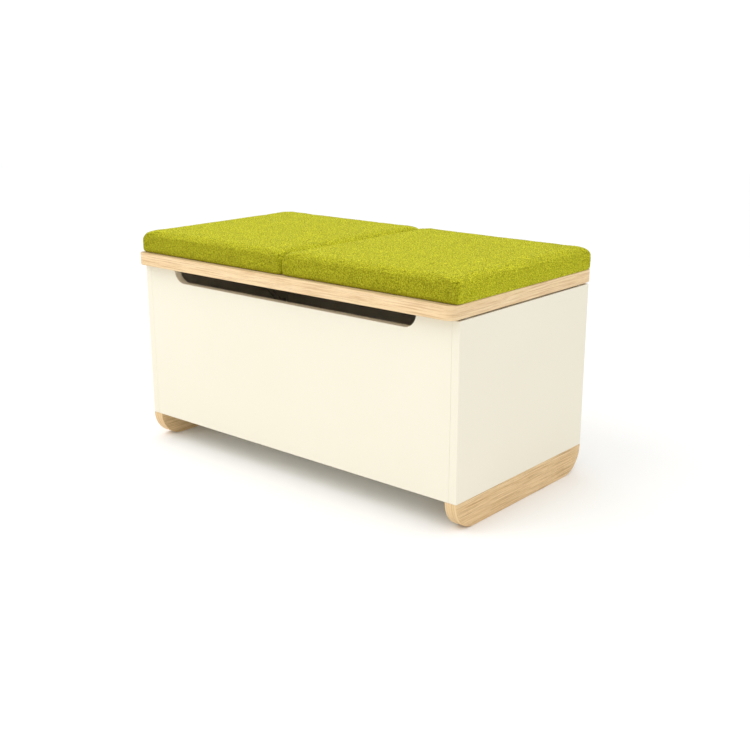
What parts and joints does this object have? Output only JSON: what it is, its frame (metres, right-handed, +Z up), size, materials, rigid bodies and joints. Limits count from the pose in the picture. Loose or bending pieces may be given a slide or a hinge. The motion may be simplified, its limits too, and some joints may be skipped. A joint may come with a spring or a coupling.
{
  "type": "toy box",
  "caption": "Wooden toy box bench with a gas-strut hinged lid, a finger slot in its front, runners and removable cushions.",
  "frame": {"origin": "on the floor, under the middle of the lid", "axes": "+X along the box to its right seen from the front, +Y to its back, +Z up; the finger slot faces -Y"},
  "size_m": [0.9, 0.5, 0.498],
  "materials": {
    "white_paint": "satin",
    "lid_oak": "matte",
    "runner_oak": "matte",
    "dowel_beech": "matte",
    "cushion_fabric": "matte",
    "cushion_foam": "matte",
    "wadding": "matte",
    "hook_tape": "matte",
    "loop_tape": "matte",
    "zip_tape": "matte",
    "zip_metal": "satin",
    "hinge_steel": "satin",
    "zinc_screws": "satin",
    "cam_zinc": "satin",
    "bracket_steel": "satin",
    "strut_white": "gloss",
    "rod_chrome": "polished",
    "white_nylon": "satin",
    "bumper_rubber": "matte"
  },
  "bodies": {
    "cabinet": {"left_side_panel": "white_paint", "left_runner": "runner_oak", "left_lower_bracket": "bracket_steel", "right_side_panel": "white_paint", "right_runner": "runner_oak", "right_lower_bracket": "bracket_steel", "front_panel": "white_paint", "back_panel": "white_paint", "bottom_panel": "white_paint", "panel_dowels": "dowel_beech", "bottom_dowels": "dowel_beech", "runner_dowels": "dowel_beech", "cam_bolts": "cam_zinc", "cam_locks": "cam_zinc", "runner_screws": "zinc_screws", "lower_bracket_screws": "zinc_screws", "hinge_fixed_screws": "zinc_screws", "hinge_fixed_leaf": "hinge_steel", "hinge_pin": "hinge_steel", "lid_bumpers": "bumper_rubber"},
    "lid": {"lid_board": "lid_oak", "hinge_lid_leaf": "hinge_steel", "hinge_lid_screws": "zinc_screws", "upper_bracket_screws": "zinc_screws", "left_upper_bracket": "bracket_steel", "left_cushion_cover": "cushion_fabric", "left_cushion_wadding": "wadding", "left_cushion_foam": "cushion_foam", "left_hook_strips": "hook_tape", "left_loop_strips": "loop_tape", "left_zip_tape": "zip_tape", "right_upper_bracket": "bracket_steel", "right_cushion_cover": "cushion_fabric", "right_cushion_wadding": "wadding", "right_cushion_foam": "cushion_foam", "right_hook_strips": "hook_tape", "right_loop_strips": "loop_tape", "right_zip_tape": "zip_tape"},
    "left_strut_rod": {"left_strut_rod": "rod_chrome", "left_strut_piston": "white_nylon", "left_strut_lower_socket": "white_nylon"},
    "left_strut_tube": {"left_strut_tube": "strut_white", "left_strut_guide": "white_nylon", "left_strut_upper_socket": "white_nylon"},
    "left_zip_slider": {"left_zip_slider": "zip_metal"},
    "left_zip_pull": {"left_zip_pull": "zip_metal"},
    "right_strut_rod": {"right_strut_rod": "rod_chrome", "right_strut_piston": "white_nylon", "right_strut_lower_socket": "white_nylon"},
    "right_strut_tube": {"right_strut_tube": "strut_white", "right_strut_guide": "white_nylon", "right_strut_upper_socket": "white_nylon"},
    "right_zip_slider": {"right_zip_slider": "zip_metal"},
    "right_zip_pull": {"right_zip_pull": "zip_metal"}
  },
  "joints": [
    {"name": "lid_hinge", "type": "hinge", "parent": "cabinet", "child": "lid", "pos_m": [0, 0.237, 0.419], "axis": [-1, 0, 0], "range_deg": [0, 80], "stiffness_Nm_per_rad": 8.7, "springref_deg": 116.31},
    {"name": "left_strut_rod_swing", "type": "hinge", "parent": "cabinet", "child": "left_strut_rod", "pos_m": [-0.415, 0.19234, 0.2436], "axis": [-1, 0, 0], "range_deg": [0, 40]},
    {"name": "left_strut_tube_swing", "type": "hinge", "parent": "lid", "child": "left_strut_tube", "pos_m": [-0.415, 0.05663, 0.40385], "axis": [-1, 0, 0], "range_deg": [-40, 0]},
    {"name": "right_strut_rod_swing", "type": "hinge", "parent": "cabinet", "child": "right_strut_rod", "pos_m": [0.415, 0.19234, 0.2436], "axis": [-1, 0, 0], "range_deg": [0, 40]},
    {"name": "right_strut_tube_swing", "type": "hinge", "parent": "lid", "child": "right_strut_tube", "pos_m": [0.415, 0.05663, 0.40385], "axis": [-1, 0, 0], "range_deg": [-40, 0]},
    {"name": "left_zip_slide", "type": "slide", "parent": "lid", "child": "left_zip_slider", "axis": [1, 0, 0], "range_m": [0, 0.358]},
    {"name": "left_zip_pull_swing", "type": "hinge", "parent": "left_zip_slider", "child": "left_zip_pull", "pos_m": [-0.404, 0.2467, 0.474], "axis": [1, 0, 0], "range_deg": [0, 150]},
    {"name": "right_zip_slide", "type": "slide", "parent": "lid", "child": "right_zip_slider", "axis": [1, 0, 0], "range_m": [0, 0.358]},
    {"name": "right_zip_pull_swing", "type": "hinge", "parent": "right_zip_slider", "child": "right_zip_pull", "pos_m": [0.046, 0.2467, 0.474], "axis": [1, 0, 0], "range_deg": [0, 150]}
  ],
  "couplings": [
    {"joint": "left_strut_rod_swing", "follows": "lid_hinge", "ratio": 0.5},
    {"joint": "left_strut_tube_swing", "follows": "lid_hinge", "ratio": -0.5},
    {"joint": "right_strut_rod_swing", "follows": "lid_hinge", "ratio": 0.5},
    {"joint": "right_strut_tube_swing", "follows": "lid_hinge", "ratio": -0.5}
  ]
}
